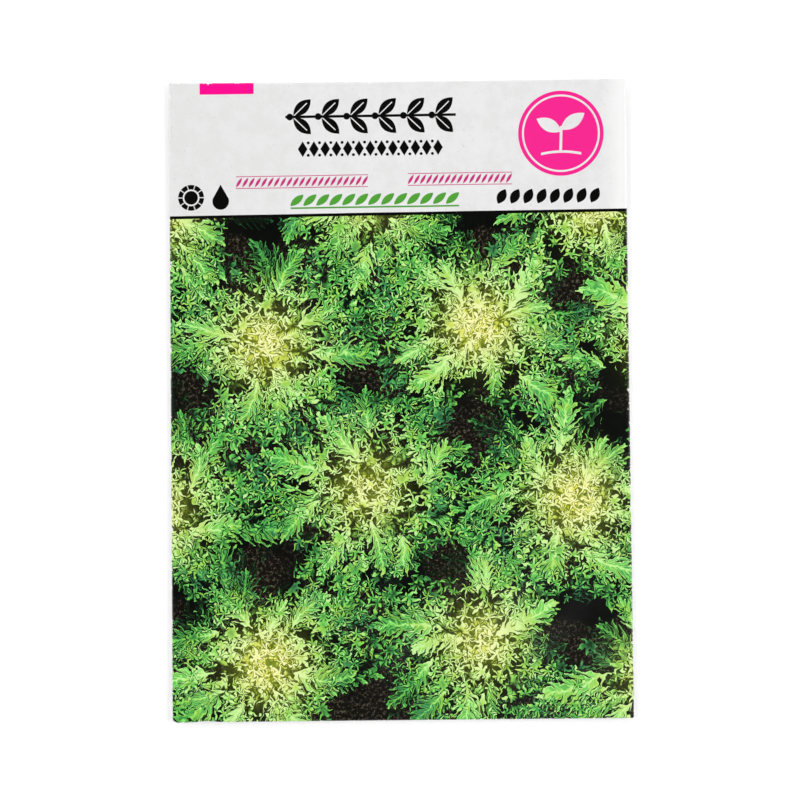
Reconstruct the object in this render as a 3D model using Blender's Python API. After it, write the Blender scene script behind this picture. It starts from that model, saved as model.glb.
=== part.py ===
"""A filled and sealed paper seed packet, lying on its back with its printed front up.

One die-cut sheet of coated paper is folded into the whole envelope: a front panel, a back
panel folded round from the right, a side flap from the left that is glued inside the back
panel, and a bottom flap and a top flap that are glued over the outside of the back panel.
Loose seeds lie in one layer inside. Metres, +Z up: X runs across the packet and Y towards
its top edge, and the origin is under the middle of the packet, where it rests.
"""

import math
import random

import bmesh
import bpy
from mathutils import Matrix, Vector

MM = 0.001

# The packet's outside, and the paper that it is folded from.
PACKET_WIDTH = 82.0 * MM
PACKET_HEIGHT = 114.3 * MM
PAPER = 0.12 * MM
HALF_WIDTH = PACKET_WIDTH / 2
HALF_HEIGHT = PACKET_HEIGHT / 2

# How far the panels stand apart: pressed nearly shut at the folds, puffed out by the seeds.
FOLD_GAP = 0.24 * MM
SEED_GAP = 1.90 * MM
FULLEST_AT = -0.24
ACROSS_POWER = 2.4
BELOW_POWER = 2.3
ABOVE_POWER = 1.9

# The back lies flat on the surface under the seeds, and its rim stands a little clear.
FLAT_SHARE = 0.88
RIM_LIFT = 0.80 * MM
LIFT_POWER = 1.3

# Paper springs up at its corners, keyed by the corner's side along X and its end along Y.
CORNER_LIFTS = {(1, 1): 0.80 * MM, (-1, 1): 0.30 * MM, (-1, -1): 0.45 * MM, (1, -1): 0.20 * MM}
LIFT_REACH = 0.80

# The rounding of each corner in plan. The lower left one is worn rounder than the others.
CORNER_RADII = {(1, 1): 0.35 * MM, (-1, 1): 0.35 * MM, (-1, -1): 1.10 * MM, (1, -1): 0.35 * MM}

# The back panel stops short of the left fold, where the side flap behind it shows.
SEAM_SETBACK = 2.2 * MM
SIDE_FLAP_WIDTH = 12.0 * MM
SEAM_X = -HALF_WIDTH + SEAM_SETBACK
SIDE_FLAP_X = -HALF_WIDTH + SIDE_FLAP_WIDTH

# The flaps glued over the back: depth, how far their sides are set in, taper and corners.
BOTTOM_FLAP_DEPTH = 14.5 * MM
TOP_FLAP_DEPTH = 19.0 * MM
FLAP_INSET = 2.8 * MM
FLAP_TAPER = 3.2 * MM
FLAP_CORNER = 3.6 * MM
FLAP_COLUMNS = 12
FLAP_END_SHARES = (0.2, 0.5, 1.0)
FLAP_STRAIGHT_SHARES = (0.25, 0.6, 1.0)
FLAP_CORNER_TURNS = (30, 55, 75, 90)
GLUE_SINK = 0.05 * MM

# The slits that stay open at the packet's four corners, beside the folds of the flaps.
SLIT_NEAR = 0.9 * MM
SLIT_FAR = 2.4 * MM
SLIT_DEPTH = 1.2 * MM
SLIT_HEIGHT = 0.08 * MM

# The seeds, and the thin cake that joins them where they lie against each other.
SEED_COUNT = 110
SEED_LENGTH = 2.7 * MM
SEED_WIDTH = 1.20 * MM
SEED_THICKNESS = 0.80 * MM
SEED_TILT = math.radians(9)
SEED_SIDES = 5
SEED_PROFILE = ((-0.5, 0.30), (0.22, 1.0), (0.5, 0.70))
SEED_SIZES = (0.88, 1.0)
TIPPED_HALF = 0.62 * SEED_THICKNESS
BED_CENTRE_Y = -9.0 * MM
BED_HALF_WIDTH = 25.0 * MM
BED_HALF_HEIGHT = 28.0 * MM
BED_USE = 0.96
CAKE_THICKNESS = 0.34 * MM
CAKE_RIM_THINNING = 0.5
CAKE_SHARES = (0.25, 0.5, 0.75, 0.92, 1.0)
CAKE_SIDES = 30
CLEARANCE = 0.32 * MM
SEED_DRAW = 41
GOLDEN_ANGLE = math.pi * (3 - math.sqrt(5))

# The surfaces' colours and roughness.
PAPER_COLOUR = (0.80, 0.80, 0.78)
PAPER_ROUGHNESS = 0.35
SEED_COLOUR = (0.44, 0.36, 0.25)
SEED_ROUGHNESS = 0.75

# How finely the paper is faceted: arcs, columns either side of a layer's edge, and rows.
OUTER_ARC_STEPS = 4
INNER_ARC_STEPS = 3
OUTER_COLUMNS = (1, 13)
INNER_COLUMNS = (2, 12)
ROWS_BETWEEN = 19
ROWS_IN_FOLD = (0.06, 0.35, 1.0)
ROWS_AT_CORNER = (0.55 * MM, 1.10 * MM, 2.6 * MM)
END_MARGIN = 6.0 * MM
SHARP_ANGLE = math.radians(32)


def fill_share(x, y):
    """How full the packet is at a place, from 0 at its folds to 1 over the seeds."""
    across = min(1.0, abs(x) / HALF_WIDTH)
    along = max(-1.0, min(1.0, y / HALF_HEIGHT))
    if along < FULLEST_AT:
        run = (FULLEST_AT - along) / (1 + FULLEST_AT)
        power = BELOW_POWER
    else:
        run = (along - FULLEST_AT) / (1 - FULLEST_AT)
        power = ABOVE_POWER
    return (1 - across**ACROSS_POWER) * (1 - run**power)


def corner_lift(x, y):
    """How far the paper springs up near its corners."""
    total = 0.0
    for (side, end), lift in CORNER_LIFTS.items():
        reach = side * x / HALF_WIDTH + end * y / HALF_HEIGHT - (2 - LIFT_REACH)
        total += lift * (max(0.0, reach) / LIFT_REACH) ** 2
    return total


def back_outside(x, y):
    """Height of the back panel's outer face."""
    shortfall = max(0.0, 1 - fill_share(x, y) / FLAT_SHARE)
    return RIM_LIFT * shortfall**LIFT_POWER + corner_lift(x, y)


def gap(x, y):
    """The free height between the two panels."""
    return FOLD_GAP + (SEED_GAP - FOLD_GAP) * fill_share(x, y)


def front_outside(x, y):
    """Height of the front panel's outer face."""
    return back_outside(x, y) + 2 * PAPER + gap(x, y)


def fold_radius(less):
    """Radius of a folded edge, for a skin that lies this far inside the outer one."""
    return PAPER + FOLD_GAP / 2 - less


def squeeze(rise, radius):
    """How much of its full height a section keeps, this far in from an end fold."""
    turn = min(1.0, rise / radius)
    return math.sqrt(1 - (1 - turn) ** 2)


def corner_inset(side, y, less):
    """How far the rounded corners bring a side of the outline in at this height."""
    end = 1 if y > 0 else -1
    radius = max(fold_radius(less), CORNER_RADII[side, end] - less)
    rise = min(radius, HALF_HEIGHT - less - abs(y))
    return radius - math.sqrt(radius**2 - (radius - rise) ** 2)


def row_heights(less):
    """Where the sections lie along Y, closer together round the end folds and corners."""
    radius = fold_radius(less)
    reach = HALF_HEIGHT - less
    near = [share * radius for share in ROWS_IN_FOLD] + list(ROWS_AT_CORNER)
    middle = spread(END_MARGIN - reach, reach - END_MARGIN, ROWS_BETWEEN - 1)
    return [rise - reach for rise in near] + middle + [reach - rise for rise in reversed(near)]


def spread(start, finish, steps):
    """Evenly spaced values from start to finish, both included."""
    return [start + (finish - start) * i / steps for i in range(steps + 1)]


def skin_ring(y, less, step, columns, arc_steps):
    """One closed ring of points round the packet, or round its inside, at one height.

    Left of the step the lower face lies one paper higher, because a layer ends there.
    """
    radius = fold_radius(less)
    kept = squeeze(HALF_HEIGHT - less - abs(y), radius)
    left = -HALF_WIDTH + less + corner_inset(-1, y, less) + radius
    right = HALF_WIDTH - less - corner_inset(1, y, less) - radius

    def point(x, raised, way):
        low = back_outside(x, y) + less + raised
        high = front_outside(x, y) - less
        return Vector((x, y, (low + high) / 2 + way * kept * (high - low) / 2))

    def fold(start, finish, outwards):
        middle = (start + finish) / 2
        half = (finish.z - start.z) / 2
        turns = [math.pi * i / arc_steps for i in range(1, arc_steps)]
        return [
            middle + Vector((outwards * radius * math.sin(a), 0, -half * math.cos(a)))
            for a in turns
        ]

    before = spread(left, step, columns[0])
    after = spread(step, right, columns[1])
    lower = [point(x, PAPER, -1) for x in before] + [point(x, 0.0, -1) for x in after]
    upper = [point(x, PAPER, 1) for x in before[:-1]] + [point(x, 0.0, 1) for x in after]
    upper.reverse()
    return lower + fold(lower[-1], upper[0], 1) + upper + fold(upper[-1], lower[0], -1)


def mesh_through(name, rings):
    """A closed mesh through rings of equally many points, with a face over each end ring."""
    mesh = bmesh.new()
    made = [[mesh.verts.new(point) for point in ring] for ring in rings]
    for ring, following in zip(made, made[1:]):
        for i in range(len(ring)):
            after = (i + 1) % len(ring)
            mesh.faces.new((ring[i], ring[after], following[after], following[i]))
    mesh.faces.new(made[0])
    mesh.faces.new(made[-1])
    bmesh.ops.triangulate(mesh, faces=mesh.faces)
    bmesh.ops.recalc_face_normals(mesh, faces=mesh.faces)
    data = bpy.data.meshes.new(name)
    mesh.to_mesh(data)
    mesh.free()
    data.shade_smooth()
    data.set_sharp_from_angle(angle=SHARP_ANGLE)
    return data


def skin_mesh(name, less, step, columns, arc_steps):
    """A skin of the packet: its outside, or the space inside it one paper further in."""
    rings = [skin_ring(y, less, step, columns, arc_steps) for y in row_heights(less)]
    return mesh_through(name, rings)


def flap_half_width(reach, depth):
    """Half a flap's width at a distance from its fold, with its free corners rounded."""
    past = max(0.0, reach - (depth - FLAP_CORNER))
    rounding = FLAP_CORNER - math.sqrt(max(0.0, FLAP_CORNER**2 - past**2))
    return HALF_WIDTH - FLAP_INSET - FLAP_TAPER * reach / depth - rounding


def flap_mesh(name, end, depth):
    """A glued flap: one paper thick, folded round the packet's end and laid along its back."""
    radius = fold_radius(0.0)
    straight = depth - FLAP_CORNER
    reaches = [share * radius for share in FLAP_END_SHARES]
    reaches += [share * straight for share in FLAP_STRAIGHT_SHARES]
    reaches += [straight + FLAP_CORNER * math.sin(math.radians(a)) for a in FLAP_CORNER_TURNS]
    rings = []
    for reach in reaches:
        y = end * (HALF_HEIGHT - reach)
        kept = squeeze(reach, radius)
        half_width = flap_half_width(reach, depth)
        outer = []
        inner = []
        for x in spread(-half_width, half_width, FLAP_COLUMNS):
            middle = (back_outside(x, y) + front_outside(x, y)) / 2
            half = middle - back_outside(x, y)
            outer.append(Vector((x, y, middle - kept * (half + PAPER))))
            inner.append(Vector((x, y, middle - kept * half + GLUE_SINK)))
        rings.append(outer + inner[::-1])
    return mesh_through(name, rings)


def slit_mesh(name, side, end):
    """A corner slit between the two panels, from outside the end fold into the space within."""
    layers = 2 * PAPER if side < 0 else PAPER
    rings = []
    for y in (end * (HALF_HEIGHT + SLIT_DEPTH / 2), end * (HALF_HEIGHT - SLIT_DEPTH)):
        ring = []
        for inwards, way in ((SLIT_NEAR, -1), (SLIT_FAR, -1), (SLIT_FAR, 1), (SLIT_NEAR, 1)):
            x = side * (HALF_WIDTH - inwards)
            low = back_outside(x, y) + layers
            high = front_outside(x, y) - PAPER
            ring.append(Vector((x, y, (low + high) / 2 + way * SLIT_HEIGHT / 2)))
        rings.append(ring)
    return mesh_through(name, rings)


def bed_middle(x, y):
    """Height half way between the panels, where the seeds lie."""
    return back_outside(x, y) + PAPER + gap(x, y) / 2


def cake_ring(share, way):
    """One ring of the cake, at a share of its radius, on its lower or upper face."""
    half = CAKE_THICKNESS / 2 * (1 - CAKE_RIM_THINNING * share**3)
    ring = []
    for i in range(CAKE_SIDES):
        turn = 2 * math.pi * i / CAKE_SIDES
        x = share * BED_HALF_WIDTH * math.cos(turn)
        y = BED_CENTRE_Y + share * BED_HALF_HEIGHT * math.sin(turn)
        ring.append(Vector((x, y, bed_middle(x, y) + way * half)))
    return ring


def cake_mesh():
    """The thin cake under the seeds: a lens-shaped disc that follows the packet's middle."""
    lower = [cake_ring(share, -1) for share in CAKE_SHARES]
    upper = [cake_ring(share, 1) for share in reversed(CAKE_SHARES)]
    return mesh_through("seeds", lower + upper)


def seed_mesh():
    """One seed: a five-sided wedge, narrow at its foot and cut off square at its crown."""
    rings = []
    for along, thickness in SEED_PROFILE:
        ring = []
        for i in range(SEED_SIDES):
            turn = 2 * math.pi * (i + 0.25) / SEED_SIDES
            ring.append(Vector((
                along * SEED_LENGTH,
                thickness * SEED_WIDTH / 2 * math.cos(turn),
                thickness * SEED_THICKNESS / 2 * math.sin(turn),
            )))
        rings.append(ring)
    return mesh_through("seed", rings)


def seed_places():
    """Where each seed lies, spread evenly over the bed, and how it is turned and tipped."""
    draw = random.Random(SEED_DRAW)
    for i in range(SEED_COUNT):
        share = BED_USE * math.sqrt((i + 0.5) / SEED_COUNT)
        turn = i * GOLDEN_ANGLE
        x = share * BED_HALF_WIDTH * math.cos(turn)
        y = BED_CENTRE_Y + share * BED_HALF_HEIGHT * math.sin(turn)
        room = gap(x, y) / 2 - CLEARANCE
        size = draw.uniform(*SEED_SIZES) * min(1.0, room / TIPPED_HALF)
        spare = max(0.0, room - size * TIPPED_HALF)
        height = bed_middle(x, y) + draw.uniform(-1, 1) * min(spare, CAKE_THICKNESS / 2)
        heading = Matrix.Rotation(draw.uniform(0, 2 * math.pi), 4, "Z")
        tip = Matrix.Rotation(draw.uniform(-1, 1) * SEED_TILT * size, 4, "Y")
        yield Matrix.Translation((x, y, height)) @ heading @ tip @ Matrix.Scale(size, 4)


def material(name, colour, roughness):
    """A plain dielectric surface."""
    made = bpy.data.materials.new(name)
    made.use_nodes = True
    shader = made.node_tree.nodes["Principled BSDF"]
    shader.inputs["Base Color"].default_value = (*colour, 1)
    shader.inputs["Roughness"].default_value = roughness
    shader.inputs["Metallic"].default_value = 0.0
    return made


def add_object(name, data, collection=None):
    """An object of this mesh, in the scene or in a collection of its own."""
    made = bpy.data.objects.new(name, data)
    (collection or bpy.context.scene.collection).objects.link(made)
    return made


def tool_collection(name, meshes):
    """A collection of tool shapes, kept in the scene as wire and left out of renders."""
    collection = bpy.data.collections.new(name)
    bpy.context.scene.collection.children.link(collection)
    for data in meshes:
        tool = add_object(data.name, data, collection)
        tool.hide_render = True
        tool.display_type = "WIRE"
    return collection


def add_boolean(target, operation, collection):
    """A Boolean on the target with every shape of the collection."""
    modifier = target.modifiers.new(operation.lower(), "BOOLEAN")
    modifier.operation = operation
    modifier.operand_type = "COLLECTION"
    modifier.collection = collection
    modifier.solver = "EXACT"
    return modifier


def make_envelope():
    """The folded sheet: its outer skin and glued flaps, hollowed by the space inside."""
    outside = skin_mesh("envelope", 0.0, SEAM_X, OUTER_COLUMNS, OUTER_ARC_STEPS)
    envelope = add_object("envelope", outside)
    envelope.data.materials.append(material("coated_paper", PAPER_COLOUR, PAPER_ROUGHNESS))
    flaps = tool_collection("flaps", [
        flap_mesh("top_flap", 1, TOP_FLAP_DEPTH),
        flap_mesh("bottom_flap", -1, BOTTOM_FLAP_DEPTH),
    ])
    inside = skin_mesh("inside", PAPER, SIDE_FLAP_X, INNER_COLUMNS, INNER_ARC_STEPS)
    slits = [
        slit_mesh(f"slit_{side}_{end}", side, end)
        for side in (-1, 1)
        for end in (-1, 1)
    ]
    hollows = tool_collection("hollows", [inside] + slits)
    add_boolean(envelope, "UNION", flaps)
    add_boolean(envelope, "DIFFERENCE", hollows)
    return envelope


def make_seeds():
    """The loose seeds in one layer, joined by the thin cake that they stand out of."""
    bed = add_object("seeds", cake_mesh())
    bed.data.materials.append(material("dry_seed", SEED_COLOUR, SEED_ROUGHNESS))
    shape = seed_mesh()
    loose = bpy.data.collections.new("loose_seeds")
    bpy.context.scene.collection.children.link(loose)
    for place in seed_places():
        seed = add_object("loose_seed", shape, loose)
        seed.matrix_world = place
    union = add_boolean(bed, "UNION", loose)
    bpy.context.view_layer.update()
    depsgraph = bpy.context.evaluated_depsgraph_get()
    joined = bpy.data.meshes.new_from_object(bed.evaluated_get(depsgraph))
    bed.modifiers.remove(union)
    bed.data = joined
    for seed in list(loose.objects):
        bpy.data.objects.remove(seed)
    bpy.data.collections.remove(loose)
    return bed


def main():
    """Clears the scene and builds the packet."""
    for old in list(bpy.data.objects):
        bpy.data.objects.remove(old)
    make_envelope()
    make_seeds()


main()
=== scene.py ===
"""Dresses a filled paper seed packet: its folded coated paper, its print and its seeds.

The packet lies on its back with its printed front up. Lengths are in metres in the row's
frame, with +Z out of the front and +Y towards the packet's top edge. The print is laid out
in millimetres, from the packet's upper left corner or from its middle.
"""

from __future__ import annotations

import logging
import math
from dataclasses import dataclass, field
from enum import Enum
from typing import Any, Callable, Iterable, Sequence

import bpy
import numpy as np
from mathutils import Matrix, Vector


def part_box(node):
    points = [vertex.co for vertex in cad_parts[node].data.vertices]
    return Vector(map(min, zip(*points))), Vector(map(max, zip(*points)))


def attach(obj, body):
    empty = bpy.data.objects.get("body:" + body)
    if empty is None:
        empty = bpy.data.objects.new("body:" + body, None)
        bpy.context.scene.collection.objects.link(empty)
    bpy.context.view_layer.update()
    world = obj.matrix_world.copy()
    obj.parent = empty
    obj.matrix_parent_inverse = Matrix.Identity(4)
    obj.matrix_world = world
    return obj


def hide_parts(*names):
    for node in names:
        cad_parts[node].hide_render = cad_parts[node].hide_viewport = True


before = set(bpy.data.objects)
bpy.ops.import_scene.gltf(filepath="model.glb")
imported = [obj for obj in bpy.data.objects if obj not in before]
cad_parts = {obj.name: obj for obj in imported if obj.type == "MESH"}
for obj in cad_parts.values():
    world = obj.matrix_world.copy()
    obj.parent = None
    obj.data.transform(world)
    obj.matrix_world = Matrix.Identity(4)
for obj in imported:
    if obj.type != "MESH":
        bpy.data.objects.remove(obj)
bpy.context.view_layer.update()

MM = 0.001
Colour = tuple[float, float, float]
Grid = np.ndarray

logging.basicConfig(level=logging.INFO, format="%(name)s: %(message)s")
log = logging.getLogger("packet")


def placed(name: str, data: bpy.types.ID) -> bpy.types.Object:
    """Puts a mesh, a light or a camera in the scene.

    Args:
        name: the new object's name.
        data: what it holds.

    Returns:
        The object.
    """
    thing = bpy.data.objects.new(name, data)
    bpy.context.scene.collection.objects.link(thing)
    return thing


def added_node(operation: str, reflected: bool = False) -> Callable[..., Expr]:
    """Makes a method of Expr that adds one Math node.

    Args:
        operation: the node's operation.
        reflected: puts the expression last, as for 1 - x.

    Returns:
        The method.
    """

    def apply(self: Expr, *others: Operand) -> Expr:
        """Adds the node and gives its result."""
        operands = (*others, self) if reflected else (self, *others)
        return self.graph.maths(operation, *operands)

    return apply


class Expr:
    """A shader socket in a Python expression: arithmetic on it adds the nodes it needs."""

    def __init__(self, graph: Graph, socket: bpy.types.NodeSocket) -> None:
        """Wraps one output socket of the graph."""
        self.graph = graph
        self.socket = socket

    @property
    def is_vector(self) -> bool:
        """True for a vector or a colour, which plain Math nodes would flatten."""
        return self.socket.type in {"VECTOR", "RGBA"}

    __add__ = __radd__ = added_node("ADD")
    __sub__ = added_node("SUBTRACT")
    __rsub__ = added_node("SUBTRACT", reflected=True)
    __mul__ = __rmul__ = added_node("MULTIPLY")
    __truediv__ = added_node("DIVIDE")
    __rtruediv__ = added_node("DIVIDE", reflected=True)
    __pow__ = added_node("POWER")
    __abs__ = added_node("ABSOLUTE")
    __gt__ = added_node("GREATER_THAN")
    __lt__ = added_node("LESS_THAN")
    least = added_node("MINIMUM")
    most = added_node("MAXIMUM")
    floor = added_node("FLOOR")
    fraction = added_node("FRACT")
    root = added_node("SQRT")

    def __neg__(self) -> Expr:
        """Opposite."""
        return self.graph.maths("MULTIPLY", self, -1.0)


Operand = Expr | float | int


class Graph:
    """A node graph, built by expressions and by one method for other nodes."""

    def __init__(self, name: str, surround: bool = False) -> None:
        """Starts an empty graph.

        Args:
            name: the name of the material, or of the surround.
            surround: makes the graph of a surround and not of a material.
        """
        self.owner = (bpy.data.worlds if surround else bpy.data.materials).new(name)
        self.owner.use_nodes = True
        self.tree = self.owner.node_tree
        self.tree.nodes.clear()

    @staticmethod
    def _find(sockets: Iterable[bpy.types.NodeSocket], key: str | int) -> bpy.types.NodeSocket:
        """Picks a node's socket.

        Args:
            sockets: the node's inputs or outputs.
            key: a name, or a place in the list.

        Returns:
            The socket of that place, or of that name among those in use.
        """
        if isinstance(key, int):
            return sockets[key]
        return next(s for s in sockets if s.enabled and s.name == key)

    def add(
        self,
        kind: str,
        settings: dict[str, Any] | None = None,
        sockets: dict[str | int, Any] | None = None,
    ) -> bpy.types.Node:
        """Adds one node.

        Args:
            kind: the node's type.
            settings: its properties, set first; "stops" fills a colour ramp.
            sockets: values or expressions for its inputs, by name or place.

        Returns:
            The new node.
        """
        node = self.tree.nodes.new(kind)
        for name, value in (settings or {}).items():
            if name == "stops":
                self._set_stops(node.color_ramp, value)
            else:
                setattr(node, name, value)
        for key, value in (sockets or {}).items():
            socket = self._find(node.inputs, key)
            if isinstance(value, Expr):
                self.tree.links.new(value.socket, socket)
            elif isinstance(value, tuple) and socket.type == "RGBA":
                socket.default_value = (*value, 1.0)
            else:
                socket.default_value = value
        return node

    @staticmethod
    def _set_stops(ramp: bpy.types.ColorRamp, stops: Sequence[tuple[float, Colour]]) -> None:
        """Gives a colour ramp its stops.

        Args:
            ramp: the ramp.
            stops: each stop's place and colour.
        """
        while len(ramp.elements) < len(stops):
            ramp.elements.new(1.0)
        for element, (place, colour) in zip(ramp.elements, stops):
            element.position = place
            element.color = (*colour, 1.0)

    def out(self, node: bpy.types.Node, key: str | int = 0) -> Expr:
        """One of a node's outputs, for use in expressions."""
        return Expr(self, self._find(node.outputs, key))

    def maths(self, operation: str, *operands: Operand) -> Expr:
        """A Math node, or a Vector Math node where an operand is a vector or a colour.

        Args:
            operation: the node's operation.
            operands: expressions or numbers, in the node's order.

        Returns:
            The result.
        """
        if any(isinstance(o, Expr) and o.is_vector for o in operands):
            return self._vector_maths(operation, *operands)
        return self.out(self.add("ShaderNodeMath", {"operation": operation}, dict(enumerate(operands))))

    def _vector_maths(self, operation: str, *operands: Operand) -> Expr:
        """A Vector Math node; a product with a number scales the vector.

        Args:
            operation: the node's operation.
            operands: expressions or numbers, at least one of them a vector.

        Returns:
            The result.
        """
        plain = [o for o in operands if not (isinstance(o, Expr) and o.is_vector)]
        if operation == "MULTIPLY" and plain:
            vector = next(o for o in operands if isinstance(o, Expr) and o.is_vector)
            sockets = {"Vector": vector, "Scale": plain[0]}
            return self.out(self.add("ShaderNodeVectorMath", {"operation": "SCALE"}, sockets))
        values = [(o,) * 3 if isinstance(o, (int, float)) else o for o in operands]
        settings = {"operation": operation}
        return self.out(self.add("ShaderNodeVectorMath", settings, dict(enumerate(values))))

    def ease(self, value: Operand, low: float, high: float) -> Expr:
        """A smooth step.

        Args:
            value: what it follows.
            low: the value at which the step starts from nought.
            high: the value at which it reaches one.

        Returns:
            The step's height.
        """
        settings = {"interpolation_type": "SMOOTHSTEP", "clamp": True}
        sockets = {"Value": value, "From Min": low, "From Max": high}
        return self.out(self.add("ShaderNodeMapRange", settings, sockets))

    def blend(self, share: Operand, first: Operand, second: Operand) -> Expr:
        """A mix of two numbers."""
        sockets = {"Factor": share, "A": first, "B": second}
        return self.out(self.add("ShaderNodeMix", {"data_type": "FLOAT"}, sockets), "Result")

    def tint(self, share: Operand, first: Expr | Colour, second: Expr | Colour) -> Expr:
        """A mix of two colours."""
        sockets = {"Factor": share, "A": first, "B": second}
        return self.out(self.add("ShaderNodeMix", {"data_type": "RGBA"}, sockets), "Result")

    def ramp(self, value: Operand, stops: Sequence[tuple[float, Colour]]) -> Expr:
        """A colour from a ramp with these stops."""
        return self.out(self.add("ShaderNodeValToRGB", {"stops": stops}, {"Fac": value}), "Color")

    def noise(self, place: Expr, grain: float, detail: float = 2.0, rough: float = 0.5) -> bpy.types.Node:
        """A noise texture whose features are about a grain long, in the place's units."""
        sockets = {"Vector": place, "Scale": 1.0 / grain, "Detail": detail, "Roughness": rough}
        return self.add("ShaderNodeTexNoise", {"noise_dimensions": "2D"}, sockets)

    def noise_value(self, place: Expr, grain: float, detail: float = 2.0, rough: float = 0.5) -> Expr:
        """Noise as a number from nought to one."""
        return self.out(self.noise(place, grain, detail, rough), 0)

    def parts(self, vector: Expr) -> tuple[Expr, Expr, Expr]:
        """A vector's or a colour's three parts."""
        node = self.add("ShaderNodeSeparateXYZ", None, {0: vector})
        return self.out(node, 0), self.out(node, 1), self.out(node, 2)

    def joined(self, x: Operand, y: Operand, z: Operand = 0.0) -> Expr:
        """A vector of three parts."""
        return self.out(self.add("ShaderNodeCombineXYZ", None, {0: x, 1: y, 2: z}))

    def millimetres(self) -> Expr:
        """The surface's own place on the packet."""
        return self.out(self.add("ShaderNodeTexCoord"), "Object") * (1.0 / MM)

    def finish(self, sockets: dict[str | int, Any]) -> bpy.types.Material:
        """Ends a material's graph in one Principled surface.

        Args:
            sockets: values or expressions for the surface's inputs.

        Returns:
            The material.
        """
        shader = self.add("ShaderNodeBsdfPrincipled", None, sockets)
        self.add("ShaderNodeOutputMaterial", None, {"Surface": self.out(shader)})
        return self.owner


@dataclass(frozen=True)
class Patches:
    """Noise eased into patches with clear ground between them, its grain in millimetres."""

    grain: float
    detail: float
    rough: float
    low: float
    high: float

    def lay(self, graph: Graph, place: Expr) -> Expr:
        """Where the patches lie, from nought to one."""
        return graph.ease(graph.noise_value(place, self.grain, self.detail, self.rough), self.low, self.high)


@dataclass(frozen=True)
class PacketForm:
    """The packet's shape, with the values that the frame's envelope is built from."""

    half_width: float
    half_height: float
    paper: float = 0.12 * MM
    paste: float = 0.008 * MM
    fold_gap: float = 0.24 * MM
    seed_gap: float = 1.90 * MM
    fullest_at: float = -0.24
    across_power: float = 2.4
    below_power: float = 2.3
    above_power: float = 1.9
    flat_share: float = 0.88
    rim_lift: float = 0.80 * MM
    lift_power: float = 1.3
    lift_reach: float = 0.80
    seam_setback: float = 2.2 * MM
    side_flap: float = 12.0 * MM
    bottom_flap: float = 14.5 * MM
    top_flap: float = 19.0 * MM
    flap_inset: float = 2.8 * MM
    flap_taper: float = 3.2 * MM
    flap_corner: float = 3.6 * MM
    corner_lifts: tuple[tuple[int, int, float], ...] = (
        (1, 1, 0.80 * MM),
        (-1, 1, 0.30 * MM),
        (-1, -1, 0.45 * MM),
        (1, -1, 0.20 * MM),
    )
    sharp_corner: float = 0.35 * MM
    worn_corner: float = 1.10 * MM
    dent_x: float = -35.0 * MM
    dent_width: float = 1.8 * MM
    dent_depth: float = 0.22 * MM

    @property
    def fold(self) -> float:
        """Radius of the paper's outer face round a fold."""
        return self.paper + self.fold_gap / 2

    def fill_share(self, x: Grid, y: Grid) -> Grid:
        """How full the packet is.

        Args:
            x: places across the packet.
            y: places along it.

        Returns:
            Shares, from 0 at the folds to 1 over the seeds.
        """
        across = np.minimum(1.0, np.abs(x) / self.half_width)
        along = np.clip(y / self.half_height, -1.0, 1.0)
        below = np.clip((self.fullest_at - along) / (1 + self.fullest_at), 0.0, 1.0)
        above = np.clip((along - self.fullest_at) / (1 - self.fullest_at), 0.0, 1.0)
        run = np.where(along < self.fullest_at, below**self.below_power, above**self.above_power)
        return (1 - across**self.across_power) * (1 - run)

    def corner_lift(self, x: Grid, y: Grid) -> Grid:
        """How far the paper springs up near its corners.

        Args:
            x: places across the packet.
            y: places along it.

        Returns:
            Heights to add.
        """
        total = np.zeros_like(x)
        for side, end, lift in self.corner_lifts:
            reach = side * x / self.half_width + end * y / self.half_height - (2 - self.lift_reach)
            total += lift * (np.maximum(0.0, reach) / self.lift_reach) ** 2
        return total

    def back_outside(self, x: Grid, y: Grid) -> Grid:
        """Height of the back panel's outer face."""
        shortfall = np.maximum(0.0, 1 - self.fill_share(x, y) / self.flat_share)
        return self.rim_lift * shortfall**self.lift_power + self.corner_lift(x, y)

    def gap(self, x: Grid, y: Grid) -> Grid:
        """The free height between the two panels."""
        return self.fold_gap + (self.seed_gap - self.fold_gap) * self.fill_share(x, y)

    def front_outside(self, x: Grid, y: Grid) -> Grid:
        """Height of the front panel's outer face, before its small unevenness."""
        return self.back_outside(x, y) + 2 * self.paper + self.gap(x, y)

    def bed_middle(self, x: Grid, y: Grid) -> Grid:
        """Height half way between the panels, where the seeds lie."""
        return self.back_outside(x, y) + self.paper + self.gap(x, y) / 2

    def squeeze(self, rise: Grid) -> Grid:
        """How much of its full height a section keeps, this far in from a fold."""
        turn = np.clip(rise / self.fold, 0.0, 1.0)
        return np.sqrt(1 - (1 - turn) ** 2)

    def corner_inset(self, side: int, y: Grid) -> Grid:
        """How far the rounded corners bring a side of the outline in.

        Args:
            side: 1 for the right side, -1 for the left.
            y: places along the packet.

        Returns:
            Distances from the straight side.
        """
        radius = np.where((y < 0) & (side < 0), self.worn_corner, self.sharp_corner)
        rise = np.clip(self.half_height - np.abs(y), 0.0, radius)
        return radius - np.sqrt(radius**2 - (radius - rise) ** 2)

    def dent(self, x: Grid) -> Grid:
        """How far the bottom fold is pressed in beside its worn corner."""
        return self.dent_depth * np.exp(-(((x - self.dent_x) / self.dent_width) ** 2))

    def flap_half_width(self, reach: Grid, depth: float) -> Grid:
        """Half a flap's width, with its free corners rounded.

        Args:
            reach: distances from its fold.
            depth: how far it reaches in all.

        Returns:
            The half widths.
        """
        past = np.maximum(0.0, reach - (depth - self.flap_corner))
        rounding = self.flap_corner - np.sqrt(np.maximum(0.0, self.flap_corner**2 - past**2))
        return self.half_width - self.flap_inset - self.flap_taper * reach / depth - rounding


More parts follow.
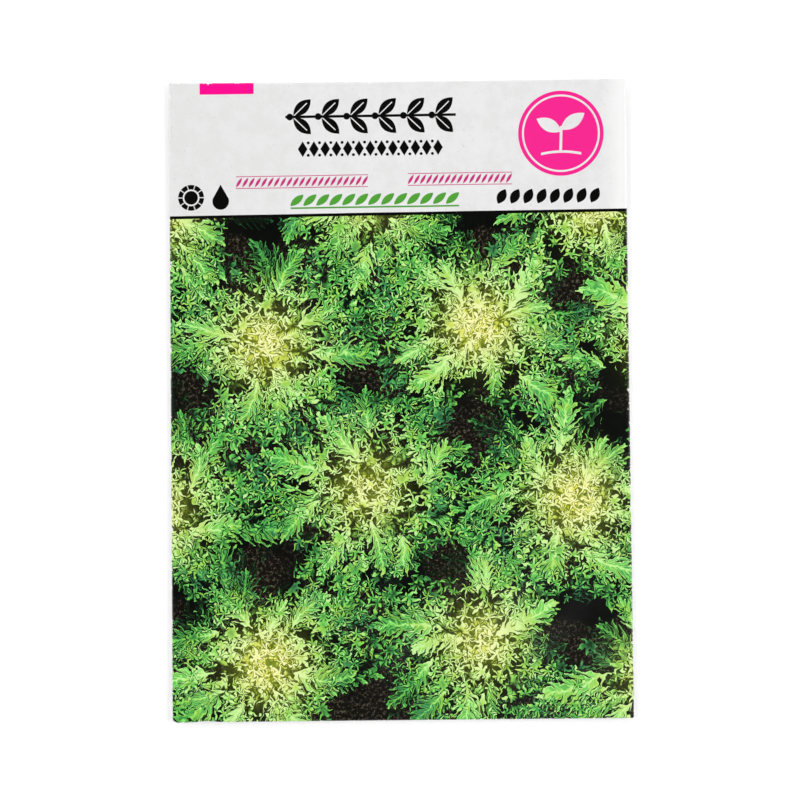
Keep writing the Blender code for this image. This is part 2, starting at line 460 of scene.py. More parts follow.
@dataclass(frozen=True)
class Wave:
    """One slow wave in the paper: its weight, its pace and the way that it runs."""

    weight: float
    pace: float
    across: float
    along: float
    phase: float

    def height(self, x: Grid, y: Grid) -> Grid:
        """The wave's height, with x and y in radians of the longest wave."""
        return self.weight * np.sin(self.pace * (self.across * x + self.along * y) + self.phase)


@dataclass(frozen=True)
class Unevenness:
    """What keeps the front from being smooth: slow swells, and seeds that press on it."""

    form: PacketForm
    seeds: np.ndarray
    waves: tuple[Wave, ...] = (
        Wave(1.0, 1.0, 1.0, 0.35, 0.6), Wave(0.7, 1.0, -0.5, 0.62, 2.1), Wave(0.5, 1.9, 1.0, -0.8, 4.0),
    )
    swell: float = 0.07 * MM
    swell_length: float = 24 * MM
    swell_rise: float = 2.0
    bump: float = 0.045 * MM
    bump_radius: float = 1.1 * MM
    bump_rise: float = 1.6
    pressing: int = 4

    def relief(self, x: Grid, y: Grid) -> Grid:
        """Extra height at each place of the front panel.

        Args:
            x: places across the packet.
            y: places along it.

        Returns:
            Heights to add, nought at the folds.
        """
        rate = 2 * math.pi / self.swell_length
        swells = sum(wave.height(rate * x, rate * y) for wave in self.waves)
        share = self.form.fill_share(x, y)
        height = self.swell * swells * np.minimum(1.0, self.swell_rise * share)
        for seed_x, seed_y, _ in self.seeds[:: self.pressing]:
            near = (np.abs(x - seed_x) < 3 * self.bump_radius) & (np.abs(y - seed_y) < 3 * self.bump_radius)
            apart = ((x[near] - seed_x) ** 2 + (y[near] - seed_y) ** 2) / self.bump_radius**2
            height[near] += self.bump * np.exp(-apart) * np.minimum(1.0, self.bump_rise * share[near])
        return height


@dataclass
class SheetMesh:
    """One piece of the folded paper, made from a grid of points on its outer face."""

    name: str
    points: np.ndarray
    facing: int
    thickness: float
    sharp_from: float = math.radians(50)
    rim_strips: int = 8
    rim_filled: float = 0.9

    def _outward(self) -> np.ndarray:
        """Finds which way the outer face looks.

        Returns:
            Its unit normals at the grid's points.
        """
        down = np.gradient(self.points, axis=0)
        across = np.gradient(self.points, axis=1)
        normal = np.cross(across, down)
        normal /= np.maximum(np.linalg.norm(normal, axis=2, keepdims=True), 1e-12)
        return normal * np.sign(normal[..., 2].mean()) * self.facing

    def _map(self, rows: int, columns: int) -> tuple[np.ndarray, np.ndarray, np.ndarray]:
        """Places on the bake map: the outer face large, the inner face and the rim small.

        Args:
            rows: how many rows of points a face has.
            columns: how many columns.

        Returns:
            The outer face's places, the inner face's, and the rim's corner and size.
        """
        v, u = np.meshgrid(np.linspace(0, 1, rows), np.linspace(0, 1, columns), indexing="ij")
        if np.ptp(self.points[..., 0]) > np.ptp(self.points[..., 1]):
            outer = np.stack([0.005 + 0.99 * u, 0.005 + 0.69 * v], axis=-1)
            inner = np.stack([0.005 + 0.60 * u, 0.72 + 0.26 * v], axis=-1)
            corner, size = (0.64, 0.72), (0.34, 0.26)
        else:
            outer = np.stack([0.005 + 0.70 * u, 0.005 + 0.99 * v], axis=-1)
            inner = np.stack([0.73 + 0.26 * u, 0.005 + 0.36 * v], axis=-1)
            corner, size = (0.73, 0.40), (0.26, 0.58)
        return outer, inner, np.array([corner, size])

    def build(self, outer_finish: bpy.types.Material, inner_finish: bpy.types.Material) -> bpy.types.Object:
        """Makes the closed sheet: outer face, inner face and cut rim.

        Args:
            outer_finish: material of the outer face.
            inner_finish: material of the inner face and the rim.

        Returns:
            The sheet's object, linked to the scene.
        """
        rows, columns, _ = self.points.shape
        inner = self.points - self._outward() * self.thickness
        vertices = np.concatenate([self.points.reshape(-1, 3), inner.reshape(-1, 3)])
        index = np.arange(rows * columns).reshape(rows, columns)
        quads = np.stack(
            [index[:-1, :-1], index[:-1, 1:], index[1:, 1:], index[1:, :-1]], axis=-1
        ).reshape(-1, 4)
        loop = np.concatenate([index[0, :-1], index[:-1, -1], index[-1, :0:-1], index[:0:-1, 0]])
        after = np.roll(loop, -1)
        rim = np.stack([loop, loop + rows * columns, after + rows * columns, after], axis=-1)
        if self.facing < 0:
            quads, rim = quads[:, ::-1], rim[:, ::-1]
        under = quads[:, ::-1] + rows * columns
        faces = np.concatenate([quads, under, rim])
        mesh = bpy.data.meshes.new(self.name)
        mesh.from_pydata(vertices.tolist(), [], faces.tolist())
        mesh.materials.append(outer_finish)
        mesh.materials.append(inner_finish)
        slots = np.zeros(len(faces), np.int32)
        slots[len(quads):] = 1
        mesh.polygons.foreach_set("material_index", slots)
        self._lay_map(mesh, rows, columns, len(quads), len(rim))
        mesh.shade_smooth()
        mesh.set_sharp_from_angle(angle=self.sharp_from)
        return placed(self.name, mesh)

    def _lay_map(self, mesh: bpy.types.Mesh, rows: int, columns: int, flats: int, rims: int) -> None:
        """Writes the bake map: the two faces as plain rectangles, the rim as thin strips.

        Args:
            mesh: the sheet's mesh.
            rows: how many rows of points a face has.
            columns: how many columns.
            flats: how many quads a face has.
            rims: how many the rim has.
        """
        outer, inner, (corner, size) = self._map(rows, columns)
        by_vertex = np.concatenate([outer.reshape(-1, 2), inner.reshape(-1, 2)])
        loops = np.empty(len(mesh.loops), np.int32)
        mesh.loops.foreach_get("vertex_index", loops)
        places = by_vertex[loops]
        cells = np.array([self.rim_strips, math.ceil(rims / self.rim_strips)])
        square = np.array([[0, 0], [1, 0], [1, 1], [0, 1]])
        for i in range(rims):
            low = corner + size * np.array([i % cells[0], i // cells[0]]) / cells
            first = 4 * (2 * flats + i)
            places[first:first + 4] = low + size / cells * self.rim_filled * square
        layer = mesh.uv_layers.new(name="OFBake")
        layer.uv.foreach_set("vector", places.astype(np.float32).ravel())


@dataclass(frozen=True)
class Spot:
    """A round place on the printed picture, in millimetres: a plant's heart or a hollow."""

    x: float
    y: float
    size: float

    def distance(self, x: Grid, y: Grid) -> Grid:
        """Distance from the spot's middle."""
        return np.hypot(x - self.x, y - self.y)


@dataclass
class Frond:
    """One printed leaf: a curved midrib with a length and a half width, in millimetres."""

    x: float
    y: float
    heading: float
    length: float
    half_width: float
    bend: float
    tone: float
    steps: int = 14

    def midrib(self) -> np.ndarray:
        """Traces the leaf's midrib.

        Returns:
            Points from its base to its tip.
        """
        share = (np.arange(self.steps) + 0.5) / self.steps
        heading = self.heading + self.bend * share**1.4
        step = self.length / self.steps
        moves = np.stack([np.cos(heading), np.sin(heading)], axis=-1) * step
        return np.concatenate([[[self.x, self.y]], [[self.x, self.y]] + np.cumsum(moves, axis=0)])


@dataclass
class Planting:
    """Where the printed leaves lie: small heads in a staggered bed, in several layers.

    Leaves of one layer stay clear of each other, so each layer can be told to the shader as
    one smooth set of leaf coordinates over the paper.
    """

    layers: int = 8
    low_layers: int = 2
    tries: int = 1000
    length: tuple[float, float] = (9.0, 17.0)
    slimness: tuple[float, float] = (0.17, 0.23)
    clearance: float = 0.9
    spread: tuple[float, float] = (19.0, 9.0)
    thinning: tuple[float, float] = (0.3, 0.7)
    swerve: float = 0.35
    bend: float = 0.55
    far_apart: float = 2.2
    hollow_rim: float = 5.0
    hollow_shade: tuple[float, float, float] = (0.5, 1.1, 0.15)
    glow_radius: float = 7.0
    light_radius: float = 15.0
    seed: int = 17
    hearts: tuple[Spot, ...] = (
        Spot(-24.0, -47.0, 1.0), Spot(14.0, -43.0, 0.8), Spot(45.0, -50.0, 0.6),
        Spot(-43.0, -19.0, 0.7), Spot(-6.0, -16.0, 0.75), Spot(31.0, -18.0, 1.0),
        Spot(-24.0, 10.0, 0.9), Spot(14.0, 13.0, 1.0), Spot(46.0, 9.0, 0.5),
        Spot(-43.0, 34.0, 0.7), Spot(-5.0, 37.0, 0.6), Spot(35.0, 35.0, 0.8),
    )
    hollows: tuple[Spot, ...] = (
        Spot(-5.0, -58.0, 9.2), Spot(32.0, -41.0, 7.5), Spot(-25.0, -29.0, 6.9),
        Spot(7.0, -30.0, 4.6), Spot(13.0, -3.5, 5.8), Spot(39.0, -2.0, 7.5),
        Spot(-41.0, 1.0, 6.3), Spot(-6.0, 4.0, 4.6), Spot(-26.0, 30.0, 6.9),
        Spot(15.0, 32.0, 6.3), Spot(32.0, 19.0, 4.6), Spot(-41.0, -37.0, 5.2),
    )

    def growth(self, x: Grid, y: Grid) -> Grid:
        """How thickly leaves grow: nought in a hollow, one away from all of them.

        Args:
            x: places across the packet, in millimetres.
            y: places along it, in millimetres.

        Returns:
            Shares from nought to one.
        """
        return np.minimum.reduce([
            np.clip(0.5 + (s.distance(x, y) - s.size) / self.hollow_rim, 0.0, 1.0) for s in self.hollows
        ])

    def glow(self, x: Grid, y: Grid) -> Grid:
        """How pale and yellow the leaves are: most at the heart of a plant."""
        shares = [s.size * np.exp(-((s.distance(x, y) / self.glow_radius) ** 2)) for s in self.hearts]
        return np.clip(np.sum(shares, axis=0), 0.0, 1.0)

    def light(self, x: Grid, y: Grid) -> Grid:
        """How brightly the leaves are lit: most over a plant, least beside a hollow.

        Args:
            x: places across the packet, in millimetres.
            y: places along it, in millimetres.

        Returns:
            Shares from nought to one.
        """
        fall = [np.exp(-((s.distance(x, y) / self.light_radius) ** 2)) for s in self.hearts]
        over = [(0.5 + 0.5 * s.size) * share for s, share in zip(self.hearts, fall)]
        start, run, least = self.hollow_shade
        near = [np.clip((s.distance(x, y) / s.size - start) / run, least, 1.0) for s in self.hollows]
        return np.maximum.reduce(over) * np.minimum.reduce(near)

    def grow(self) -> list[list[Frond]]:
        """Draws the leaves of every layer.

        Returns:
            A list of leaves for each layer, from the deepest to the topmost.
        """
        draw = np.random.default_rng(self.seed)
        grown: list[list[Frond]] = []
        for layer in range(self.layers):
            kept: list[Frond] = []
            ribs: list[np.ndarray] = []
            for _ in range(self.tries):
                frond = self._draw_frond(draw, layer / (self.layers - 1))
                rib = frond.midrib()
                middle = rib[len(rib) // 2]
                sparse = layer >= self.low_layers and self.growth(*middle) < draw.uniform(*self.thinning)
                if not sparse and self._is_clear(frond, rib, kept, ribs):
                    kept.append(frond)
                    ribs.append(rib)
            grown.append(kept)
        return grown

    def _draw_frond(self, draw: np.random.Generator, level: float) -> Frond:
        """Draws one leaf that springs from a plant; upper ones start nearer to its heart.

        Args:
            draw: the source of random numbers.
            level: the layer's share of the way up.

        Returns:
            The leaf.
        """
        heart = self.hearts[draw.integers(len(self.hearts))]
        turn = draw.uniform(0.0, 2 * math.pi)
        spread = (self.spread[0] + (self.spread[1] - self.spread[0]) * level) * math.sqrt(draw.uniform())
        length = draw.uniform(*self.length)
        return Frond(
            x=heart.x + spread * math.cos(turn),
            y=heart.y + spread * math.sin(turn),
            heading=turn + draw.normal(0.0, self.swerve),
            length=length,
            half_width=length * draw.uniform(*self.slimness),
            bend=draw.normal(0.0, self.bend),
            tone=draw.uniform(),
        )

    def _is_clear(self, frond: Frond, rib: np.ndarray, kept: list[Frond], ribs: list[np.ndarray]) -> bool:
        """Tells if a leaf stays clear of those already in its layer.

        Args:
            frond: the leaf.
            rib: its midrib.
            kept: the leaves of the layer.
            ribs: their midribs.

        Returns:
            True if it does.
        """
        for other, other_rib in zip(kept, ribs):
            if math.hypot(frond.x - other.x, frond.y - other.y) > self.far_apart * self.length[1]:
                continue
            apart = np.linalg.norm(rib[:, None] - other_rib[None], axis=-1).min()
            if apart < frond.half_width + other.half_width + self.clearance:
                return False
        return True

    def lay(self, fronds: list[Frond], x: Grid, y: Grid) -> np.ndarray:
        """Leaf coordinates of one layer at each place of the paper.

        Args:
            fronds: the layer's leaves.
            x: places across the packet, in millimetres.
            y: places along it, in millimetres.

        Returns:
            Four numbers a place: share along the leaf, share across it, its tone, and whether
            the place is near enough to a leaf for the first two to hold.
        """
        found = np.zeros((x.size, 4), np.float32)
        found[:, 1] = 9.0
        places = np.stack([x.ravel(), y.ravel()], axis=-1)
        for frond in fronds:
            rib = frond.midrib()
            reach = 2.0 * frond.half_width
            low, high = rib.min(axis=0) - reach, rib.max(axis=0) + reach
            near = np.nonzero(((places > low) & (places < high)).all(axis=1))[0]
            along, across = self._beside(rib, places[near])
            across = across / frond.half_width
            better = np.abs(across) < np.abs(found[near, 1])
            inside = near[better]
            found[inside, 0] = along[better]
            found[inside, 1] = across[better]
            found[inside, 2] = frond.tone
        found[:, 3] = np.clip((1.42 - np.abs(found[:, 1])) / 0.2, 0.0, 1.0)
        found[:, 1] = np.clip(found[:, 1], -2.0, 2.0)
        return found

    @staticmethod
    def _beside(rib: np.ndarray, places: np.ndarray) -> tuple[np.ndarray, np.ndarray]:
        """Finds where places lie beside a midrib.

        Args:
            rib: the midrib's points.
            places: the places.

        Returns:
            Each place's share along the midrib, and its signed distance from it.
        """
        steps = len(rib) - 1
        best = np.full(len(places), 1e9)
        along = np.zeros(len(places))
        across = np.zeros(len(places))
        for i in range(steps):
            start, run = rib[i], rib[i + 1] - rib[i]
            length = math.hypot(*run)
            unit = run / length
            offset = places - start
            forward = offset @ unit / length
            low = -2.0 if i == 0 else 0.0
            high = 3.0 if i == steps - 1 else 1.0
            held = np.clip(forward, low, high)
            side = offset @ np.array([-unit[1], unit[0]])
            apart = np.hypot((forward - held) * length, side)
            closer = apart < best
            best[closer] = apart[closer]
            along[closer] = (i + held[closer]) / steps
            across[closer] = np.copysign(apart, side)[closer]
        return along, across


@dataclass(frozen=True)
class Tufts:
    """A scatter of small spiky leaf tips, one to each cell of an uneven net."""

    cell: float
    shift: float
    light: float
    cover: float = 0.62
    reach: float = 0.80
    waist: float = 0.20
    points: float = 5.0
    tip_gain: float = 0.52
    base: float = 0.44
    ridge: float = 0.14
    shadow: float = 0.72

    def lay(self, graph: Graph, place: Expr, below: Expr, leafy: Expr) -> Expr:
        """Lays the tips over the tones below them.

        Args:
            graph: the material's graph.
            place: the place in millimetres, already bent a little by noise.
            below: the tone of what lies below.
            leafy: where tips may grow, from nought to one.

        Returns:
            The new tones.
        """
        spot = place + self.shift
        net = graph.add(
            "ShaderNodeTexVoronoi",
            {"voronoi_dimensions": "2D", "feature": "F1"},
            {"Vector": spot, "Scale": 1 / self.cell, "Randomness": 0.9},
        )
        offset = spot - graph.out(net, "Position")
        turn, size, own = graph.parts(graph.out(net, "Color"))
        x, y, _ = graph.parts(offset)
        radius = (x * x + y * y).root()
        angle = graph.maths("ARCTAN2", y, x) * (1 / (2 * math.pi)) + turn
        spike = abs((angle * self.points).fraction() - 0.5) * 2
        girth = (size * 0.5 + 0.55) * (self.reach * self.cell)
        depth = girth * (spike**1.9 * (1 - self.waist) + self.waist) - radius
        there = own < leafy * self.cover
        body = graph.ease(depth, 0.0, 0.14) * there
        shade = graph.ease(depth, -0.55, 0.05) * there
        out = radius / girth
        vein = graph.ease(spike, 0.80, 0.98) * self.ridge
        tone = (out * self.tip_gain + self.base + vein) * (own * 0.50 + 0.70) * self.light
        return graph.blend(body, below * (1 - shade * self.shadow), tone)


@dataclass(frozen=True)
class LeafPicture:
    """The printed picture: layers of lobed leaves over dark ground, drawn by the shader."""

    planting: Planting
    light_attribute: str = "leaf_light"
    lobes: float = 7.0
    lobe_slant: float = 0.24
    teeth: float = 2.0
    tooth_depth: float = 0.42
    heel: float = 0.16
    shadow: float = 0.70
    rim_shine: float = 0.34
    rib_shine: float = 0.26
    vein_shine: float = 0.16
    own_shine: float = 0.22
    shine: float = 0.34
    level_light: tuple[float, float] = (0.34, 0.70)
    curl: tuple[float, float] = (1.9, 1.5)
    frill: tuple[float, float] = (0.70, 0.5)
    light_gain: float = 1.25
    least_light: float = 1.02
    blackness: float = 0.09
    tufts: tuple[tuple[int, Tufts], ...] = (
        (1, Tufts(3.4, 3.1, 0.46)),
        (2, Tufts(5.0, 17.7, 0.60, cover=0.55, reach=0.66, waist=0.42, points=8.0)),
        (3, Tufts(3.0, 29.3, 0.74)),
        (4, Tufts(4.2, 41.9, 0.82, cover=0.42, reach=0.66, waist=0.38, points=7.0)),
        (5, Tufts(2.7, 53.3, 0.96)),
        (6, Tufts(3.4, 67.1, 0.98, cover=0.32, reach=0.68, waist=0.34, points=7.0)),
        (7, Tufts(2.3, 79.7, 1.15, cover=0.44)),
    )
    greens: tuple[tuple[float, Colour], ...] = (
        (0.00, (0.0008, 0.0014, 0.0008)),
        (0.16, (0.0040, 0.019, 0.0065)),
        (0.33, (0.024, 0.125, 0.030)),
        (0.50, (0.068, 0.365, 0.070)),
        (0.70, (0.162, 0.625, 0.100)),
        (0.88, (0.300, 0.775, 0.175)),
        (1.00, (0.550, 0.870, 0.300)),
    )
    golds: tuple[tuple[float, Colour], ...] = (
        (0.00, (0.020, 0.026, 0.005)),
        (0.22, (0.240, 0.320, 0.028)),
        (0.46, (0.660, 0.700, 0.060)),
        (0.72, (0.880, 0.820, 0.120)),
        (1.00, (0.950, 0.920, 0.460)),
    )
    thickets: Patches = Patches(4.5, 1.0, 0.5, 0.34, 0.56)
    bluish: Patches = Patches(7.0, 1.0, 0.5, 0.50, 0.68)
    lively: Patches = Patches(2.6, 2.0, 0.5, 0.48, 0.66)
    crumbs: Patches = Patches(0.62, 3.0, 0.75, 0.50, 0.80)
    earth: Patches = Patches(13.0, 1.0, 0.5, 0.42, 0.58)
    blue_green: Colour = (0.040, 0.240, 0.095)
    lime: Colour = (0.390, 0.660, 0.058)
    loam: Colour = (0.0040, 0.0030, 0.0016)
    grit: Colour = (0.135, 0.118, 0.076)

    def attribute(self, layer: int) -> str:
        """The name under which a layer's leaf coordinates are kept on the mesh."""
        return f"leaf_layer_{layer}"

    def colour(self, graph: Graph, place: Expr) -> Expr:
        """The picture's colour at a place.

        Args:
            graph: the material's graph.
            place: the surface's place in millimetres.

        Returns:
            The printed colour.
        """
        curls = graph.parts(graph.out(graph.noise(place, self.curl[0], 1.0, 0.5), 1))
        frills = graph.parts(graph.out(graph.noise(place, self.frill[0], 0.0, 0.5), 1))
        bent = place + graph.joined(curls[0] - 0.5, curls[1] - 0.5) * self.curl[1]
        bent = bent + graph.joined(frills[0] - 0.5, frills[1] - 0.5) * self.frill[1]
        node = graph.add("ShaderNodeAttribute", {"attribute_name": self.light_attribute})
        glow, growth, light = graph.parts(graph.out(node, "Vector"))
        growth = growth * (self.thickets.lay(graph, place) * 0.5 + 0.6)
        growth = growth + glow * 0.6
        tone = graph.noise_value(place, 1.6, 3.0, 0.7) * (glow * 0.55 + 0.12)
        # Tones from black to pale, one layer of leaves and leaf tips over another.
        tufts = dict(self.tufts)
        for layer in range(self.planting.layers):
            tone = self._leaf_layer(graph, layer, tone, curls, frills)
            if layer in tufts:
                tone = tufts[layer].lay(graph, bent, tone, growth)
        tone = tone * (light * self.light_gain + self.least_light) - self.blackness
        tone = tone * graph.ease(tone, -0.03, 0.56)
        # Greens for those tones, bluer in places and livelier in others.
        green = graph.ramp(tone, self.greens)
        bluish = self.bluish.lay(graph, place) * 0.6
        middling = graph.ease(tone, 0.12, 0.35) * (1 - graph.ease(tone, 0.5, 0.8))
        green = graph.tint(bluish * middling, green, self.blue_green)
        lively = self.lively.lay(graph, place) * 0.5
        green = graph.tint(lively * graph.ease(tone, 0.42, 0.75), green, self.lime)
        # Earth where it is darkest, and yellow at the hearts.
        ground = graph.tint(self.crumbs.lay(graph, place), self.loam, self.grit)
        earth = self.earth.lay(graph, place) * (1 - graph.ease(tone, 0.02, 0.12))
        green = graph.tint(earth, green, ground)
        yellow = (tone + glow * 0.12).most(glow * graph.noise_value(place, 1.2, 2.0, 0.6) * 0.38)
        return graph.tint(glow, green, graph.ramp(yellow, self.golds))

    def _leaf_layer(
        self,
        graph: Graph,
        layer: int,
        below: Expr,
        curls: tuple[Expr, Expr, Expr],
        frills: tuple[Expr, Expr, Expr],
    ) -> Expr:
        """Lays one layer of leaves over the tones below it.

        Args:
            graph: the material's graph.
            layer: the layer's number, from the deepest up.
            below: the tones so far.
            curls: three slow noises that bend a leaf and its edge.
            frills: three fine ones that fray the edge.

        Returns:
            The new tones.
        """
        node = graph.add("ShaderNodeAttribute", {"attribute_name": self.attribute(layer)})
        share, beside, own = graph.parts(graph.out(node, "Vector"))
        valid = graph.out(node, "Alpha")
        curl_a, curl_b = curls[layer % 3], curls[(layer + 1) % 3]
        frill_a, frill_b = frills[layer % 3], frills[(layer + 2) % 3]
        share = share + (curl_a - 0.5) * 0.10
        beside = beside + (curl_b - 0.5) * 0.45 + (frill_a - 0.5) * 0.16
        out = abs(beside)
        phase = (share - out * self.lobe_slant + own) * self.lobes + (beside > 0.0) * 0.5
        lobe = phase.fraction()
        rise = (lobe * 1.30).least((1 - lobe) * 4.0)
        tooth = abs((phase * self.teeth + out * 1.5 + frill_b * 0.5).fraction() - 0.5) * 2.0
        body = graph.ease(share, 0.0, 0.40) * (1 - graph.ease(share, 0.70, 1.0))
        toothed = rise * (tooth * self.tooth_depth + (1 - self.tooth_depth)) + self.heel
        edge = body * toothed + 0.05 * graph.ease(body, 0.02, 0.2)
        inside = edge - out
        cover = graph.ease(inside, 0.0, 0.05) * valid
        shadow = graph.ease(inside, -0.40, 0.04) * valid
        rib = 1 - graph.ease(out, 0.02, 0.12)
        vein = 1 - graph.ease(abs(lobe - 0.66), 0.03, 0.14)
        rim = 1 - graph.ease(inside, 0.02, 0.26)
        lowest, gain = self.level_light
        light = lowest + gain * (layer + 1.0) / self.planting.layers
        shine = rim * self.rim_shine + rib * self.rib_shine + vein * self.vein_shine
        shine = shine + own * self.own_shine + self.shine
        return graph.blend(cover, below * (1 - shadow * self.shadow), shine * light)


@dataclass(frozen=True)
class PrintPlace:
    """A place on a printed face, in millimetres from its upper left corner as it is read.

    A mark that is a row has a motif that comes more than once in it.
    """

    across: float
    down: float
    width: float
    height: float
    motifs: int = 1


class FrontMark(Enum):
    """The generic marks printed on the front's white header."""

    TAB = PrintPlace(10.4, 0.9, 9.7, 2.5)
    GARLAND = PrintPlace(36.2, 6.4, 30.6, 6.3, 6)
    LOZENGES = PrintPlace(36.1, 12.25, 26.3, 3.0, 13)
    ROPE_LEFT = PrintPlace(23.8, 18.1, 23.7, 2.3, 21)
    ROPE_RIGHT = PrintPlace(52.1, 18.0, 18.7, 2.3, 17)
    LEAFLETS = PrintPlace(36.8, 21.6, 30.2, 3.2, 13)
    SUN_AND_DROP = PrintPlace(6.5, 20.7, 10.0, 4.6)
    KERNELS = PrintPlace(67.9, 21.3, 19.1, 2.9, 8)
    BADGE = PrintPlace(70.3, 10.07, 15.3, 15.3)


class BackMark(Enum):
    """The generic marks printed on the back."""

    BAND = PrintPlace(41.0, 27.0, 66.0, 8.4)
    GARLAND = PrintPlace(41.0, 27.0, 61.2, 6.3, 12)
    SEEDLINGS = PrintPlace(41.0, 46.5, 66.0, 25.0, 6)
    LEFT_LINES = PrintPlace(24.0, 76.5, 32.0, 29.0)
    RIGHT_LINES = PrintPlace(58.5, 71.0, 31.0, 18.0)
    SUN_AND_DROP = PrintPlace(49.0, 88.0, 10.0, 4.6)
    KERNELS = PrintPlace(66.0, 88.0, 16.7, 2.9, 7)


@dataclass(frozen=True)
class Ornaments:
    """Plain printed ornaments, each given as how much ink lies at a place.

    A shape is first worked out as a depth: how far a place is inside it, in millimetres. The
    numbers in a shape's own lines are its drawing, in millimetres from its middle.
    """

    graph: Graph
    u: Expr
    v: Expr
    crisp: float = 0.05
    line_pitch: float = 2.9

    def ink(self, depth: Expr) -> Expr:
        """Where ink lies, from how deep a place is inside a shape."""
        return self.graph.ease(depth, -self.crisp / 2, self.crisp / 2)

    def local(self, place: PrintPlace) -> tuple[Expr, Expr]:
        """Distance across and down from a mark's middle."""
        return self.u - place.across, self.v - place.down

    def bar(self, place: PrintPlace) -> Expr:
        """An upright rectangle."""
        x, y = self.local(place)
        return (place.width / 2 - abs(x)).least(place.height / 2 - abs(y))

    def row(self, place: PrintPlace) -> tuple[Expr, Expr, float]:
        """Splits a mark into equal cells, side by side, one for each motif.

        Args:
            place: the mark's place.

        Returns:
            Distance across and down from a cell's middle, and the cell's width.
        """
        pitch = place.width / place.motifs
        x, y = self.local(place)
        cell = (x + place.width / 2) * (1 / pitch)
        return (cell.fraction() - 0.5) * pitch, y, pitch

    def kept(self, place: PrintPlace, depth: Expr) -> Expr:
        """The ink of a shape, kept inside its mark's bounds."""
        return self.ink(depth.least(self.bar(place)))

    @staticmethod
    def disc(x: Expr, y: Expr, radius: float) -> Expr:
        """A disc about the origin."""
        return radius - (x * x + y * y).root()

    @staticmethod
    def leaf(along: Expr, beside: Expr, half_length: float, half_width: float) -> Expr:
        """A leaf pointed at both ends."""
        share = along * (1 / half_length)
        return (1 - share * share) * half_width - abs(beside)

    def veined(self, along: Expr, beside: Expr, half_length: float, half_width: float) -> Expr:
        """A pointed leaf whose midrib is left bare."""
        vein = (abs(beside) - 0.09).most(along - half_length * 0.55)
        return self.leaf(along, beside, half_length, half_width).least(vein)

    @staticmethod
    def turned(x: Expr, y: Expr, angle: float) -> tuple[Expr, Expr]:
        """Turns coordinates about their origin.

        Args:
            x: distance across.
            y: distance down.
            angle: the angle in degrees.

        Returns:
            The turned coordinates.
        """
        cos_t, sin_t = math.cos(math.radians(angle)), math.sin(math.radians(angle))
        return x * cos_t + y * sin_t, y * cos_t - x * sin_t

    def garland(self, place: PrintPlace) -> Expr:
        """A bold row of paired leaves on a stem.

        Args:
            place: the mark's place.

        Returns:
            Where its ink lies.
        """
        x, y, _ = self.row(place)
        upper = self.veined(*self.turned(x - 0.45, y + 1.62, -44), 2.2, 1.10)
        lower = self.veined(*self.turned(x - 0.45, y - 1.62, 44), 2.2, 1.10)
        bud = self.disc(x + 1.75, y, 0.62)
        return self.kept(place, upper.most(lower).most(0.24 - abs(y)).most(bud))

    def lozenges(self, place: PrintPlace) -> Expr:
        """A row of lozenges with pairs of dots between them.

        Args:
            place: the mark's place.

        Returns:
            Where its ink lies.
        """
        x, y, pitch = self.row(place)
        diamond = 0.74 - (abs(x) * 0.86 + abs(y) * 0.52)
        inner = (place.width - pitch) / 2 - abs(self.u - place.across)
        dot = self.disc(pitch / 2 - abs(x), abs(y) - 1.12, 0.27).least(inner)
        return self.kept(place, diamond.most(dot))

    def rope(self, place: PrintPlace) -> Expr:
        """A fine twisted line of slanting strokes between two hairlines.

        Args:
            place: the mark's place.

        Returns:
            Where its ink lies.
        """
        x, y, _ = self.row(place)
        stroke = self.leaf(*self.turned(x, y, -58), 1.05, 0.26)
        return self.kept(place, stroke.most(0.07 - abs(abs(y) - 1.06)))

    def leaflets(self, place: PrintPlace) -> Expr:
        """A row of small slanting leaves over a thin stem.

        Args:
            place: the mark's place.

        Returns:
            Where its ink lies.
        """
        x, y, _ = self.row(place)
        leaf = self.leaf(*self.turned(x, y + 0.15, -40), 1.6, 0.62)
        return self.kept(place, leaf.most(0.15 - abs(y - 1.25)))

    def kernels(self, place: PrintPlace) -> Expr:
        """A row of slanting seeds."""
        x, y, _ = self.row(place)
        return self.kept(place, self.leaf(*self.turned(x, y, -62), 1.50, 0.84))

    def sun_and_drop(self, place: PrintPlace) -> Expr:
        """A sun with rays, and a water drop beside it.

        Args:
            place: the mark's place.

        Returns:
            Where its ink lies.
        """
        x, y = self.local(place)
        sun_x = x + 2.6
        angle = self.graph.maths("ARCTAN2", y, sun_x) * (10 / (2 * math.pi))
        ray = 0.24 - abs(angle.fraction() - 0.5) * 0.55
        ring = self.disc(sun_x, y, 2.32).least(-self.disc(sun_x, y, 1.50))
        sun = self.disc(sun_x, y, 1.22).most(ray.least(ring))
        drop_x = x - 2.7
        tip = ((y + 2.3) * 0.56 - abs(drop_x)).least(0.35 - y)
        return self.ink(sun.most(self.disc(drop_x, y - 0.75, 1.48)).most(tip))

    def badge(self, place: PrintPlace) -> tuple[Expr, Expr]:
        """A round badge with a ring and a sprout in it.

        Args:
            place: the mark's place.

        Returns:
            Where the badge lies, and where it is left bare for the ring and the sprout.
        """
        x, y = self.local(place)
        radius = place.width / 2
        ring = 0.17 - abs(self.disc(x, y, radius - 0.85))
        left = self.leaf(*self.turned(x + 2.1, y + 1.5, 28), 2.5, 1.15)
        right = self.leaf(*self.turned(x - 2.1, y + 2.1, -34), 2.6, 1.15)
        stem = (0.24 - abs(x + (y - 1.0) * 0.04)).least(3.2 - y).least(y + 1.3)
        ground = (0.22 - abs(y - 3.3 - x * x * 0.03)).least(3.6 - abs(x))
        bare = ring.most(left).most(right).most(stem).most(ground)
        return self.ink(self.disc(x, y, radius)), self.ink(bare)

